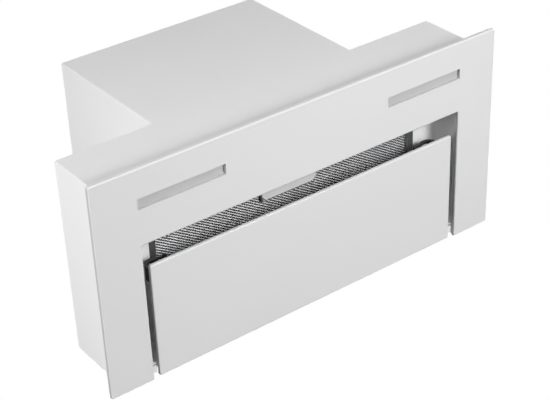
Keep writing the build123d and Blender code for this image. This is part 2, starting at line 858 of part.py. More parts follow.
def motor_shaft():
    shaft = along_x(Circle(shaft_radius), motor_back + shaft_end_gap + sheet, hub_length)
    collar = along_x(Circle(shaft_radius * 2), hub_length, hub_length + shaft_radius)
    return Pos(0, blower_axis_y, blower_z) * (shaft + collar)


# Motor: laminated stack between two end bells, bored for the shaft
def motor_housing():
    middle = (motor_front + motor_back) / 2
    bell = along_x(Circle(motor_bell_radius), motor_back, motor_front)
    body = bell + along_x(Circle(motor_radius), middle - motor_stack / 2, middle + motor_stack / 2)
    body -= along_x(Circle(shaft_radius + shaft_fit), motor_back + shaft_end_gap, motor_front + sheet)
    return Pos(0, blower_axis_y, blower_z) * body


# Three-armed bracket that hangs the motor in the left inlet
def motor_bracket():
    arms = Circle(motor_bell_radius - 8.0)
    for turn in (30, 150, 270):
        reach = motor_mount_radius + motor_mount_buffer_radius
        arms += Rot(0, 0, turn) * Pos(reach / 2, 0) * Rectangle(reach, motor_arm_width)
    plate = along_x(arms, motor_back - motor_arm_plate, motor_back)
    return Pos(0, blower_axis_y, blower_z) * plate


def motor_mount_places():
    places = PolarLocations(motor_mount_radius, 3, start_angle=30)
    return [(place.position.X, place.position.Y) for place in places]


def motor_buffers():
    buffer = along_x(Circle(motor_mount_buffer_radius), motor_back, mount_plane)
    return Compound(
        children=[Pos(0, blower_axis_y + y, blower_z + z) * buffer for y, z in motor_mount_places()]
    )


# Capacitor lying along the motor box's left wall, in its saddle clip
capacitor_x = sheet - motor_box_width / 2 + capacitor_radius + capacitor_clip_sheet
capacitor_z = body_top + 3 * capacitor_radius


def capacitor():
    start = body_mid_y - capacitor_length / 2
    can = along_y(Pos(capacitor_x, capacitor_z) * Circle(capacitor_radius), start, start + capacitor_length)
    tab = Rectangle(sheet, capacitor_radius / 2)
    offset = capacitor_radius / 4
    tabs = Pos(capacitor_x, capacitor_z) * (Pos(offset, 0) * tab + Pos(-offset, 0) * tab)
    return can + along_y(tabs, start - capacitor_radius / 2, start)


def capacitor_clip():
    wall = sheet - motor_box_width / 2
    reach = capacitor_radius + capacitor_clip_sheet
    saddle = rectangle((wall, capacitor_x), (capacitor_z - reach, capacitor_z + reach))
    saddle -= Pos(capacitor_x, capacitor_z) * Circle(capacitor_radius)
    half = capacitor_clip_width / 2
    return along_y(saddle, body_mid_y - half, body_mid_y + half)


# Collar turned in one: flange, tube and the inner seat that stops the dampers
def duct_collar():
    inner = duct_radius - duct_wall
    seat_top = damper_height - damper_plate / 2 - running_gap
    profile = Polyline(
        (inner, 0),
        (duct_flange_radius, 0),
        (duct_flange_radius, duct_flange),
        (duct_radius, duct_flange),
        (duct_radius, duct_height),
        (inner, duct_height),
        (inner, seat_top),
        (inner - damper_seat_width, seat_top),
        (inner - damper_seat_width, seat_top - damper_seat_thickness),
        (inner, seat_top - damper_seat_thickness),
        close=True,
    )
    collar = Pos(0, outlet_y, box_top) * revolve(Plane.XZ * make_face(profile), Axis.Z)
    pin_hole = along_x(Pos(outlet_y, damper_z) * Circle(damper_pin_radius), -duct_radius, duct_radius)
    return collar - duct_screw_holes() - pin_hole


damper_z = box_top + damper_height


def damper_pin():
    end = duct_radius - duct_wall / 4
    return along_x(Pos(outlet_y, damper_z) * Circle(damper_pin_radius), -end, end)


# Knuckle stations across the collar: the front flap takes the odd ones, the rear flap the even ones
def damper_stations():
    end = duct_radius - duct_wall - 6.0
    count = 3
    pitch = 2 * end / count
    return [(-end + place * pitch, -end + (place + 1) * pitch) for place in range(count)]


# One half-disc flap; side is -1 for the front flap and 1 for the rear one
def damper_flap(side, own_stations):
    radius = duct_radius - duct_wall - damper_edge_gap
    half_disc = Circle(radius) & rectangle((-radius, radius), (0, radius) if side > 0 else (-radius, 0))
    plate = along_z(half_disc, -damper_plate / 2, damper_plate / 2)
    reach = damper_knuckle_radius + damper_tab
    plate -= block((-radius, radius), (-reach, reach), (-damper_plate, damper_plate))
    for start, end in own_stations:
        start, end = start + running_gap, end - running_gap
        plate += block(
            (start, end), (0, reach + 1.0) if side > 0 else (-reach - 1.0, 0), (-damper_plate / 2, damper_plate / 2)
        )
        plate += along_x(Circle(damper_knuckle_radius), start, end)
    plate -= along_x(Circle(damper_pin_radius + damper_fit), -radius, radius)
    return Pos(0, outlet_y, damper_z) * plate


control_front = body_front + body_flange + 2 * running_gap
control_rear = control_front + control_depth


# Box for the fan and lamp control board, standing on the carrier between the two lamps
def control_box():
    half = control_width / 2
    top = seat_z + control_height - control_wall
    box = block((-half, half), (control_front, control_rear), (seat_z, top))
    box = chamfer(box.edges().filter_by(Axis.Z), control_wall)
    return box - block(
        (control_wall - half, half - control_wall),
        (control_front + control_wall, control_rear - control_wall),
        (seat_z + control_wall, top + sheet),
    )


# Circuit board with its transformer, relays and terminal row
def control_board():
    half = control_width / 2 - 2 * control_wall
    low = seat_z + control_wall
    y_ends = (control_front + 2 * control_wall, control_rear - 2 * control_wall)
    board = block((-half, half), y_ends, (low, low + board_sheet))
    reach = control_height - 4 * control_wall - board_sheet
    mid_y = (control_front + control_rear) / 2
    for place, width, height in ((-0.6, 0.34, 0.9), (-0.15, 0.22, 0.6), (0.2, 0.22, 0.6), (0.65, 0.36, 0.75)):
        part = Box(width * half, control_depth * 0.4, height * reach)
        board += Pos(place * half, mid_y, low + board_sheet + height * reach / 2) * part
    return board


def control_lid():
    half = control_width / 2
    top = seat_z + control_height
    lid = block((-half, half), (control_front, control_rear), (top - control_wall, top))
    return chamfer(lid.edges().filter_by(Axis.Z), control_wall)


# The strip of carrier left bare between the pan's flange and the body's flange
pocket_ends = (recess_half + sheet + recess_flange + running_gap, body_width / 2 - body_flange - running_gap)
pocket_x = (pocket_ends[0] + pocket_ends[1]) / 2
pocket_width = pocket_ends[1] - pocket_ends[0]


# Lamp driver in the left pocket
def lamp_driver():
    case = Box(pocket_width, driver_length, driver_height)
    case = Pos(-pocket_x, body_mid_y - 40, seat_z + driver_height / 2) * case
    return chamfer(case.edges().filter_by(Axis.Z), case_corner)


# Mains terminal box in the right pocket below the gland
def terminal_box():
    case = Box(pocket_width, terminal_length, terminal_height)
    case = Pos(pocket_x, gland_y - 50.0, seat_z + terminal_height / 2) * case
    return chamfer(case.edges().filter_by(Axis.Z), case_corner)


# Cable gland through the body's top: hexagon and cap above, thread through the sheet, nut below
def cable_gland():
    hexagon = RegularPolygon(gland_hex_radius, 6)
    nut_top = body_top - sheet
    collar_top = body_top + gland_collar
    gland = along_z(hexagon, body_top, collar_top)
    gland += along_z(Circle(gland_thread_radius), nut_top, body_top)
    gland += along_z(Circle(gland_hex_radius * 0.85), collar_top, collar_top + gland_cap)
    gland += along_z(hexagon, nut_top - gland_nut, nut_top)
    bore = along_z(Circle(gland_bore), nut_top - gland_nut, collar_top + gland_cap)
    return Pos(gland_x, gland_y) * (gland - bore)


save("fascia_glass", fascia_glass())
save("fascia_carrier", fascia_carrier())
save("body_casing", body_casing())
save("motor_casing", motor_casing())
save("recess_pan", recess_pan())
save_pair("lamp_holder", lamp_holder())
save_pair("lamp_diffuser", lamp_diffuser())
save_pair("lamp_strip", lamp_strip())
save("filter_frame", filter_frame())
save("filter_mesh_front", expanded_sheet(mesh_z))
save("filter_mesh_back", expanded_sheet(filter_top - 2 * filter_sheet))
save("filter_core", filter_core())
save("latch_case", latch_case())
save("latch_handle", latch_handle())
save("latch_springs", latch_springs())
save("flap_glass", flap_glass())
save("flap_tray", flap_tray())
save_pair("hinge_leaf", hinge_leaf_piece())
save_pair("hinge_bracket", hinge_bracket_piece())
save_pair("hinge_pin", hinge_pin_piece())
save_pair("catch_body", catch_body_piece())
save_pair("catch_roller", catch_roller_piece())
save_pair("catch_spring", catch_spring_piece())
save_pair("catch_strike", strike_piece())
save_pair("blower_housing", volute_half())
save("impeller", impeller())
save_pair("blade_row", blade_row())
save("motor_shaft", motor_shaft())
save("motor_housing", motor_housing())
save("motor_bracket", motor_bracket())
save("motor_buffers", motor_buffers())
save("capacitor", capacitor())
save("capacitor_clip", capacitor_clip())
save("duct_collar", duct_collar())
save("damper_pin", damper_pin())
save("damper_flap_front", damper_flap(-1, damper_stations()[0::2]))
save("damper_flap_rear", damper_flap(1, damper_stations()[1::2]))
save("control_box", control_box())
save("control_board", control_board())
save("control_lid", control_lid())
save("lamp_driver", lamp_driver())
save("terminal_box", terminal_box())
save("cable_gland", cable_gland())
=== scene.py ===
import json
import bmesh
import bpy
import numpy as np
from mathutils import Matrix, Vector


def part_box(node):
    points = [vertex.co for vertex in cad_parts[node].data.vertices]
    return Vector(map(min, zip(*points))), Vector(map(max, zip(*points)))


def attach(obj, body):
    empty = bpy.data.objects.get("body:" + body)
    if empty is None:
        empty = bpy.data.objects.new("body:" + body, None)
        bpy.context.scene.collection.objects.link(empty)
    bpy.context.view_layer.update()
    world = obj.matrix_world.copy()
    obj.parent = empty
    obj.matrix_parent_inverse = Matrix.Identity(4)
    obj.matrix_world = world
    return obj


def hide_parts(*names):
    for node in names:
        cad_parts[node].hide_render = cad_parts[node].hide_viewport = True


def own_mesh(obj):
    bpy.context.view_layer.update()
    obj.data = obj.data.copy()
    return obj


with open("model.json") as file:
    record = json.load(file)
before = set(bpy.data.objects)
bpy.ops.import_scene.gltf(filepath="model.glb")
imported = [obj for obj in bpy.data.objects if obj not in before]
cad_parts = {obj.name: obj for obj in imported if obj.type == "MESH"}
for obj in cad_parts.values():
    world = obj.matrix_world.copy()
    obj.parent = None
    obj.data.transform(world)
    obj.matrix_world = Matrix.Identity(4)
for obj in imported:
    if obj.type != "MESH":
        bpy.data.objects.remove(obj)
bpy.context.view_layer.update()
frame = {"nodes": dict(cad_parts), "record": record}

nodes = frame["nodes"]

# Camera: it stands below and in front of the hood, to its left, and looks up at the fascia
cameraSettings = {
    "place": (-0.9136, -0.9367, -1.1848),
    "right": (0.79626, 0.03467, -0.60396),
    "up": (0.34158, -0.84975, 0.40156),
    "back": (-0.49929, -0.52605, -0.68847),
    "lens": 95.52,
    "sensor": 36.0,
    "nearest": 0.01,
}


def makeCamera(settings):
    data = bpy.data.cameras.new("camera")
    data.sensor_width = settings["sensor"]
    data.lens = settings["lens"]
    data.clip_start = settings["nearest"]
    camera = bpy.data.objects.new("camera", data)
    bpy.context.collection.objects.link(camera)
    turned = Matrix((settings["right"], settings["up"], settings["back"])).transposed()
    camera.matrix_world = Matrix.Translation(settings["place"]) @ turned.to_4x4()
    bpy.context.scene.camera = camera


makeCamera(cameraSettings)
print("camera placed")


# A socket takes either a fixed value or what another node puts out
def feed(tree, socket, value):
    if isinstance(value, bpy.types.NodeSocket):
        tree.links.new(value, socket)
    else:
        socket.default_value = value


def addMath(tree, operation, *values):
    node = tree.nodes.new("ShaderNodeMath")
    node.operation = operation
    for socket, value in zip(node.inputs, values):
        feed(tree, socket, value)
    return node.outputs[0]


# One for what the camera sees straight on, in a reflection or through glass, and nought for lighting
def seenRay(tree):
    path = tree.nodes.new("ShaderNodeLightPath")
    seen = addMath(tree, "MAXIMUM", path.outputs["Is Camera Ray"], path.outputs["Is Glossy Ray"])
    return addMath(tree, "MAXIMUM", seen, path.outputs["Is Transmission Ray"])


# Studio: an even grey room that looks white, a pale floor far below, and soft lamps
roomSettings = {"light": 0.07, "color": (1.0, 1.0, 1.0, 1.0)}


def makeRoom(settings):
    world = bpy.data.worlds.new("room")
    bpy.context.scene.world = world
    world.use_nodes = True
    tree = world.node_tree
    tree.nodes.clear()
    choose = tree.nodes.new("ShaderNodeMixShader")
    output = tree.nodes.new("ShaderNodeOutputWorld")
    tree.links.new(seenRay(tree), choose.inputs[0])
    for socket, strength in ((choose.inputs[1], settings["light"]), (choose.inputs[2], 1.0)):
        background = tree.nodes.new("ShaderNodeBackground")
        background.inputs["Color"].default_value = settings["color"]
        background.inputs["Strength"].default_value = strength
        tree.links.new(background.outputs[0], socket)
    tree.links.new(choose.outputs[0], output.inputs["Surface"])


lampSettings = {
    "left lamp": {
        "place": (-1.60, -0.56, 0.04), "aim": (0.0, 0.0, 0.08), "size": 0.9, "watts": 4.7, "spread": 1.4,
    },
    "low lamp": {
        "place": (0.62, -1.25, -2.05), "aim": (-0.05, 0.3, 0.0), "size": 0.9, "watts": 28.4, "spread": 2.2,
    },
    "front lamp": {
        "place": (-0.85, -1.8, 0.18), "aim": (0.0, 0.0, 0.12), "size": 0.8, "watts": 0.42, "spread": 1.3,
    },
    "back lamp": {
        "place": (0.5, 2.1, 1.6), "aim": (0.0, 0.0, 0.15), "size": 1.4, "watts": 12.0, "spread": 1.3,
    },
    "right lamp": {
        "place": (2.2, -0.1, 0.7), "aim": (0.0, 0.0, 0.12), "size": 1.2, "watts": 4.5, "spread": 1.3,
    },
}


def makeLamp(name, settings):
    data = bpy.data.lights.new(name, "AREA")
    data.energy = settings["watts"]
    data.size = settings["size"]
    data.spread = settings["spread"]
    light = bpy.data.objects.new(name, data)
    bpy.context.collection.objects.link(light)
    light.location = settings["place"]
    toward = Vector(settings["aim"]) - Vector(settings["place"])
    light.rotation_euler = toward.to_track_quat("-Z", "Y").to_euler()
    light.visible_camera = False


floorSettings = {
    "height": -4.0, "half": 60.0, "color": (0.80, 0.80, 0.80, 1.0),
    "glow": 0.86, "rough": 0.9, "specular": 0.2,
}


# The paper glows only for rays that see it, straight on or mirrored, so it looks pale but lights nothing
def makeFloor(settings):
    half, height = settings["half"], settings["height"]
    corners = [(x * half, y * half, height) for x, y in ((-1, -1), (1, -1), (1, 1), (-1, 1))]
    mesh = bpy.data.meshes.new("floor")
    mesh.from_pydata(corners, [], [(0, 1, 2, 3)])
    floor = bpy.data.objects.new("floor", mesh)
    bpy.context.collection.objects.link(floor)
    paper = bpy.data.materials.new("floorPaper")
    paper.use_nodes = True
    tree = paper.node_tree
    shader = tree.nodes["Principled BSDF"]
    shader.inputs["Base Color"].default_value = settings["color"]
    shader.inputs["Roughness"].default_value = settings["rough"]
    shader.inputs["Specular IOR Level"].default_value = settings["specular"]
    glow = addMath(tree, "MULTIPLY", seenRay(tree), settings["glow"])
    tree.links.new(glow, shader.inputs["Emission Strength"])
    mesh.materials.append(paper)


makeRoom(roomSettings)
for lampName, lampLook in lampSettings.items():
    makeLamp(lampName, lampLook)
makeFloor(floorSettings)
bpy.context.scene.view_settings.view_transform = "Standard"
print("studio lit")

# Most finishes have a tone that drifts between two colours, a fine grain in the surface, and a
# roughness that wanders between two values with the grain
noiseSettings = {"low": 0.3, "high": 0.7, "driftDetail": 4.0, "grainDetail": 3.0, "grainDepth": 0.0004}


def startFinish(name, look):
    material = bpy.data.materials.new(name)
    material.use_nodes = True
    tree = material.node_tree
    shader = tree.nodes["Principled BSDF"]
    shader.inputs["Metallic"].default_value = look.get("metal", 0.0)
    coords = tree.nodes.new("ShaderNodeTexCoord")
    stretch = tree.nodes.new("ShaderNodeMapping")
    stretch.inputs["Scale"].default_value = look.get("stretch", (1.0, 1.0, 1.0))
    tree.links.new(coords.outputs["Object"], stretch.inputs["Vector"])
    return material, tree, shader, stretch.outputs["Vector"]


def addNoise(tree, place, scale, detail):
    noise = tree.nodes.new("ShaderNodeTexNoise")
    noise.inputs["Scale"].default_value = scale
    noise.inputs["Detail"].default_value = detail
    tree.links.new(place, noise.inputs["Vector"])
    return noise.outputs["Fac"]


def mapRange(tree, value, start, end, low=0.0, high=1.0, blend="LINEAR"):
    ranged = tree.nodes.new("ShaderNodeMapRange")
    ranged.interpolation_type = blend
    for socket, number in (("From Min", start), ("From Max", end), ("To Min", low), ("To Max", high)):
        ranged.inputs[socket].default_value = number
    tree.links.new(value, ranged.inputs["Value"])
    return ranged.outputs["Result"]


# Noise keeps near its middle, so the part of its range that it really fills is stretched over the two ends
def spread(tree, noise, low, high):
    return mapRange(tree, noise, noiseSettings["low"], noiseSettings["high"], low, high)


def blendColors(tree, factor, first, second):
    mix = tree.nodes.new("ShaderNodeMix")
    mix.data_type = "RGBA"
    tree.links.new(factor, mix.inputs[0])
    for socket, value in ((mix.inputs[6], first), (mix.inputs[7], second)):
        feed(tree, socket, value + (1.0,) if isinstance(value, tuple) else value)
    return mix.outputs[2]


def addBump(tree, shader, height, strength, depth):
    bump = tree.nodes.new("ShaderNodeBump")
    bump.inputs["Strength"].default_value = strength
    bump.inputs["Distance"].default_value = depth
    tree.links.new(height, bump.inputs["Height"])
    tree.links.new(bump.outputs["Normal"], shader.inputs["Normal"])


def addGrain(tree, shader, place, look):
    height = addNoise(tree, place, look["grainScale"], noiseSettings["grainDetail"])
    addBump(tree, shader, height, look["grain"], noiseSettings["grainDepth"])
    return spread(tree, height, *look["rough"])


def endFinish(tree, shader, place, look, color):
    tree.links.new(color, shader.inputs["Base Color"])
    tree.links.new(addGrain(tree, shader, place, look), shader.inputs["Roughness"])


def makeFinish(name, look):
    material, tree, shader, place = startFinish(name, look)
    drift = addNoise(tree, place, look["driftScale"], noiseSettings["driftDetail"])
    color = blendColors(tree, spread(tree, drift, 0.0, 1.0), look["color"], look["color2"])
    endFinish(tree, shader, place, look, color)
    return material


# White glass: the paint lies behind clear glass, so the flat face is even. The ground edges are duller,
# chosen by how far the surface leans away from up and down. The short sides have a little green of the glass
# edge and a painted shade that makes them much darker than the long ones, and the walls of the lamp slots
# carry a lighter painted shade between the two
glassLook = {
    "color": (0.775, 0.777, 0.775), "color2": (0.800, 0.802, 0.800),
    "longEdge": (0.770, 0.774, 0.770), "shortEdgePaintedShade": (0.500, 0.510, 0.505), "slotWallPaintedShade": (0.600, 0.604, 0.600),
    "edgeLean": (0.45, 0.995), "flatLean": (0.97, 1.0), "slotMargin": 0.002,
    "driftScale": 3.0, "driftDetail": 2.0, "grain": 0.03, "grainScale": 900.0,
    "rough": (0.16, 0.22), "edgeRough": 0.75,
}


# One inside the box round each lamp's window, left and right alike, and nought elsewhere
def lampSlots(tree, place, margin):
    split = tree.nodes.new("ShaderNodeSeparateXYZ")
    tree.links.new(place, split.inputs[0])
    low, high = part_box("lamp_diffuser_right")
    offCentre = addMath(tree, "ABSOLUTE", split.outputs["X"])
    inX = addMath(tree, "COMPARE", offCentre, (low.x + high.x) / 2, (high.x - low.x) / 2 + margin)
    inY = addMath(tree, "COMPARE", split.outputs["Y"], (low.y + high.y) / 2, (high.y - low.y) / 2 + margin)
    return addMath(tree, "MULTIPLY", inX, inY)


def makeGlass(name, look):
    material, tree, shader, place = startFinish(name, look)
    drift = addNoise(tree, place, look["driftScale"], look["driftDetail"])
    face = blendColors(tree, spread(tree, drift, 0.0, 1.0), look["color"], look["color2"])
    coords = tree.nodes["Texture Coordinate"].outputs
    facing = tree.nodes.new("ShaderNodeSeparateXYZ")
    tree.links.new(coords["Normal"], facing.inputs[0])
    upDown = addMath(tree, "ABSOLUTE", facing.outputs["Z"])
    sidewaysShadeMask = addMath(tree, "ABSOLUTE", facing.outputs["X"])
    # edges that face sideways get the painted shade of the short edges, the others the long edges' tone
    edge = blendColors(tree, sidewaysShadeMask, look["longEdge"], look["shortEdgePaintedShade"])
    inSlot = lampSlots(tree, coords["Object"], look["slotMargin"])
    # the walls of the lamp slots get their own, lighter painted shade
    edge = blendColors(tree, inSlot, edge, look["slotWallPaintedShade"])
    onFace = mapRange(tree, upDown, *look["edgeLean"], blend="SMOOTHSTEP")
    tree.links.new(blendColors(tree, onFace, edge, face), shader.inputs["Base Color"])
    rough = tree.nodes.new("ShaderNodeMix")
    rough.inputs["A"].default_value = look["edgeRough"]
    tree.links.new(mapRange(tree, upDown, *look["flatLean"]), rough.inputs["Factor"])
    tree.links.new(addGrain(tree, shader, place, look), rough.inputs["B"])
    tree.links.new(rough.outputs["Result"], shader.inputs["Roughness"])
    return material


# Frosted window over the lamps: fine ribs across its length, and a little light let through
diffuserLook = {
    "color": (0.655, 0.66, 0.655), "color2": (0.71, 0.715, 0.71), "ribs": 210.0, "ribHeight": 0.25,
    "ribDepth": 0.0003, "cloudScale": 700.0, "cloudDetail": 2.0, "rough": (0.35, 0.5), "letThrough": 0.25,
}


def makeDiffuser(name, look):
    material, tree, shader, place = startFinish(name, look)
    ribs = tree.nodes.new("ShaderNodeTexWave")
    ribs.inputs["Scale"].default_value = look["ribs"]
    tree.links.new(place, ribs.inputs["Vector"])
    color = blendColors(tree, ribs.outputs["Fac"], look["color"], look["color2"])
    tree.links.new(color, shader.inputs["Base Color"])
    addBump(tree, shader, ribs.outputs["Fac"], look["ribHeight"], look["ribDepth"])
    cloud = addNoise(tree, place, look["cloudScale"], look["cloudDetail"])
    tree.links.new(spread(tree, cloud, *look["rough"]), shader.inputs["Roughness"])
    shader.inputs["Transmission Weight"].default_value = look["letThrough"]
    return material


# Circuit board: green resist with a faint square pattern of copper tracks under it
boardLook = {
    "color": (0.030, 0.150, 0.060), "color2": (0.060, 0.230, 0.100), "joint": (0.02, 0.10, 0.04),
    "tracks": 160.0, "grain": 0.2, "grainScale": 600.0, "rough": (0.3, 0.45),
}


def makeBoard(name, look):
    material, tree, shader, place = startFinish(name, look)
    tracks = tree.nodes.new("ShaderNodeTexBrick")
    tracks.inputs["Scale"].default_value = look["tracks"]
    for socket, key in (("Color1", "color"), ("Color2", "color2"), ("Mortar", "joint")):
        tracks.inputs[socket].default_value = look[key] + (1.0,)
    tree.links.new(place, tracks.inputs["Vector"])
    endFinish(tree, shader, place, look, tracks.outputs["Color"])
    return material


# Zinc-coated sheet: crystal patches of slightly different grey
zincLook = {
    "color": (0.46, 0.47, 0.48), "color2": (0.60, 0.61, 0.62), "crystals": 120.0,
    "grain": 0.05, "grainScale": 900.0, "rough": (0.30, 0.45), "metal": 0.9,
}


def makeZinc(name, look):
    material, tree, shader, place = startFinish(name, look)
    crystals = tree.nodes.new("ShaderNodeTexVoronoi")
    crystals.inputs["Scale"].default_value = look["crystals"]
    tree.links.new(place, crystals.inputs["Vector"])
    patch = tree.nodes.new("ShaderNodeSeparateColor")
    tree.links.new(crystals.outputs["Color"], patch.inputs[0])
    color = blendColors(tree, patch.outputs[0], look["color"], look["color2"])
    endFinish(tree, shader, place, look, color)
    return material


paintLook = {
    "color": (0.835, 0.835, 0.835), "color2": (0.865, 0.865, 0.865), "driftScale": 4.0,
    "grain": 0.12, "grainScale": 750.0, "rough": (0.38, 0.5),
}
whitePlasticLook = {
    "color": (0.65, 0.65, 0.645), "color2": (0.69, 0.69, 0.685), "driftScale": 18.0,
    "grain": 0.10, "grainScale": 1400.0, "rough": (0.42, 0.55),
}
paleGreyLook = {
    "color": (0.60, 0.60, 0.60), "color2": (0.65, 0.65, 0.65), "driftScale": 22.0,
    "grain": 0.12, "grainScale": 1500.0, "rough": (0.40, 0.52),
}
blackPlasticLook = {
    "color": (0.012, 0.012, 0.013), "color2": (0.024, 0.024, 0.026), "driftScale": 45.0,
    "grain": 0.20, "grainScale": 1600.0, "rough": (0.38, 0.55),
}
filterLook = {
    "color": (0.64, 0.64, 0.645), "color2": (0.74, 0.74, 0.745), "driftScale": 60.0,
    "grain": 0.10, "grainScale": 900.0, "rough": (0.38, 0.52), "metal": 0.30, "stretch": (0.35, 1.0, 1.0),
}
# Filter rails: aluminium whose grey sits far below the metal's own, a painted shade for the shade and dark
# reflections of the recess
railShadeLook = {
    "color": (0.22, 0.22, 0.224), "color2": (0.30, 0.30, 0.305), "driftScale": 50.0,
    "grain": 0.12, "grainScale": 900.0, "rough": (0.34, 0.48), "metal": 0.85, "stretch": (0.2, 1.0, 1.0),
}
# Filter core: layered foil coloured nearly black, a painted shade for the depth seen through the mesh holes
foilShadeLook = {
    "color": (0.09, 0.09, 0.093), "color2": (0.15, 0.15, 0.153), "driftScale": 80.0,
    "grain": 0.20, "grainScale": 700.0, "rough": (0.35, 0.5), "metal": 0.6, "stretch": (1.0, 0.2, 1.0),
}
springLook = {
    "color": (0.42, 0.42, 0.43), "color2": (0.52, 0.52, 0.53), "driftScale": 90.0,
    "grain": 0.06, "grainScale": 1200.0, "rough": (0.22, 0.34), "metal": 1.0, "stretch": (0.15, 1.0, 1.0),
}
rubberLook = {
    "color": (0.018, 0.018, 0.018), "color2": (0.030, 0.030, 0.030), "driftScale": 60.0,
    "grain": 0.25, "grainScale": 1300.0, "rough": (0.7, 0.85),
}

# The record's slots, and the nodes that are given another finish than their slot's
finishes = {
    "white_glass": makeGlass("whiteGlass", glassLook),
    "white_steel": makeFinish("whitePaint", paintLook),
    "zinc_steel": makeZinc("zincSheet", zincLook),
    "white_plastic": makeFinish("whitePlastic", whitePlasticLook),
    "grey_plastic": makeFinish("paleGreyPlastic", paleGreyLook),
    "black_plastic": makeFinish("blackPlastic", blackPlasticLook),
    "filter_metal": makeFinish("filterAluminium", filterLook),
    "spring_steel": makeFinish("springSteel", springLook),
    "diffuser": makeDiffuser("frostedWindow", diffuserLook),
    "board": makeBoard("circuitBoard", boardLook),
    "rubber": makeFinish("rubber", rubberLook),
}
ownFinishes = {
    # the core wears a painted shade, nearly black behind the mesh
    "filter_core": makeFinish("filterFoilShaded", foilShadeLook),
    # the rails wear a painted shade, darker than the mesh
    "filter_frame": makeFinish("filterRailsShaded", railShadeLook),
    "latch_case": finishes["grey_plastic"],
    "fascia_carrier": finishes["white_steel"],
}

for part in frame["record"]["subparts"]:
    finish = ownFinishes.get(part["node"], finishes[part["material_slot"]])
    for slot in nodes[part["node"]].material_slots:
        slot.material = finish
print("finishes given to", len(nodes), "nodes")


def addPiece(name, points, faces, finish, body):
    mesh = bpy.data.meshes.new(name)
    mesh.from_pydata(points.tolist(), [], faces)
    mesh.validate()
    mesh.materials.append(finishes[finish])
    piece = bpy.data.objects.new(name, mesh)
    bpy.context.collection.objects.link(piece)
    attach(piece, body)
    return piece


# Expanded sheet: slits pulled open into staggered diamonds, so that each strand leans
meshSettings = {
    "pitchLong": 0.00605, "pitchShort": 0.0038, "webLong": 0.0016, "webShort": 0.0010,
    "lean": 0.00055, "thickness": 0.00042, "notchPlay": 0.0006,
}
meshSheets = {
    "meshFront": {"node": "filter_mesh_front", "flip": 1.0},
    "meshBack": {"node": "filter_mesh_back", "flip": -1.0},
}


# Cell (i, j) is centred at ((i + half of j's oddness) * pitchLong, j * pitchShort / 2). Its hole has four
# corners: front and back at mid height, right low and left high by the lean. One strand joins the
# hole to the next one up to the right, one to the next up to the left, and one quad is the knot between
def makeMesh(name, node, flip, settings):
    low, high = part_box(node)
    caseLow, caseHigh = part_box("latch_case")
    longPitch, shortPitch = settings["pitchLong"], settings["pitchShort"]
    halfLong = longPitch / 2 - settings["webLong"] / 2
    halfShort = shortPitch / 2 - settings["webShort"] / 2
    lean, play = settings["lean"] * flip, settings["notchPlay"]
    columns = int((high.x - low.x) / longPitch)
    rows = int((high.y - low.y) / (shortPitch / 2))
    i, j = np.meshgrid(np.arange(columns), np.arange(rows), indexing="ij")
    x = (low.x + high.x) / 2 + (i - (columns - 1) / 2 + (j % 2) / 2) * longPitch
    y = (low.y + high.y) / 2 + (j - (rows - 1) / 2) * shortPitch / 2
    centres = np.stack([x, y, np.full(x.shape, (low.z + high.z) / 2)], axis=-1)
    corners = np.array(
        [(halfLong, 0.0, -lean), (0.0, halfShort, 0.0), (-halfLong, 0.0, lean), (0.0, -halfShort, 0.0)]
    )
    points = (centres[:, :, None, :] + corners[None, None, :, :]).reshape(-1, 3)
    # cells stop short of the latch's case and of both ends
    inCase = (x > caseLow.x - longPitch / 2 - play) & (x < caseHigh.x + longPitch / 2 + play)
    inCase &= y < caseHigh.y + shortPitch / 2 + play
    kept = (~inCase) & (x > low.x + longPitch / 2) & (x < high.x - longPitch / 2)
    index = np.arange(columns * rows).reshape(columns, rows) * 4

    # What the array holds some cells across and some rows up, with odd rows half a cell to the right
    def neighbour(array, acrossEven, acrossOdd, up, missing):
        even = np.roll(np.roll(array, -acrossEven, axis=0), -up, axis=1)
        odd = np.roll(np.roll(array, -acrossOdd, axis=0), -up, axis=1)
        across = np.where(j % 2 == 0, acrossEven, acrossOdd)
        outside = (i + across < 0) | (i + across >= columns) | (j + up < 0) | (j + up >= rows)
        return np.where(outside, missing, np.where(j % 2 == 0, even, odd))

    def both(*step):
        return neighbour(index, *step, 0), neighbour(kept, *step, False)

    upRight, upRightKept = both(0, 1, 1)
    upLeft, upLeftKept = both(-1, 0, 1)
    downRight, downRightKept = both(0, 1, -1)
    right, rightKept = both(1, 1, 0)
    rising = np.stack([index, upRight + 3, upRight + 2, index + 1], axis=-1)[kept & upRightKept]
    falling = np.stack([index + 1, upLeft, upLeft + 3, index + 2], axis=-1)[kept & upLeftKept]
    whole = kept & upRightKept & rightKept & downRightKept
    knots = np.stack([index, downRight + 1, right + 2, upRight + 3], axis=-1)[whole]
    faces = np.concatenate([rising, falling, knots])[:, ::-1]
    used = np.unique(faces)
    renumber = np.zeros(points.shape[0], dtype=int)
    renumber[used] = np.arange(used.size)
    piece = addPiece(name, points[used], renumber[faces].tolist(), "filter_metal", "hood")
    wall = piece.modifiers.new("wall", "SOLIDIFY")
    wall.thickness = settings["thickness"]
    wall.offset = 0.0
    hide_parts(node)


for sheetName, sheet in meshSheets.items():
    makeMesh(sheetName, sheet["node"], sheet["flip"], meshSettings)
print("expanded sheets made")

# Pan-head screws in the flange of the duct's collar
screwSettings = {
    "radius": 0.0034, "height": 0.0022, "crossHalf": 0.00055, "crossReach": 0.0022, "crossDepth": 0.0013,
    "crossSoft": 0.0002, "endSoft": 0.0004, "rings": 18, "spokes": 48,
    "circle": 0.079, "flange": 0.0025, "turns": (45.0, 135.0, 225.0, 315.0),
}


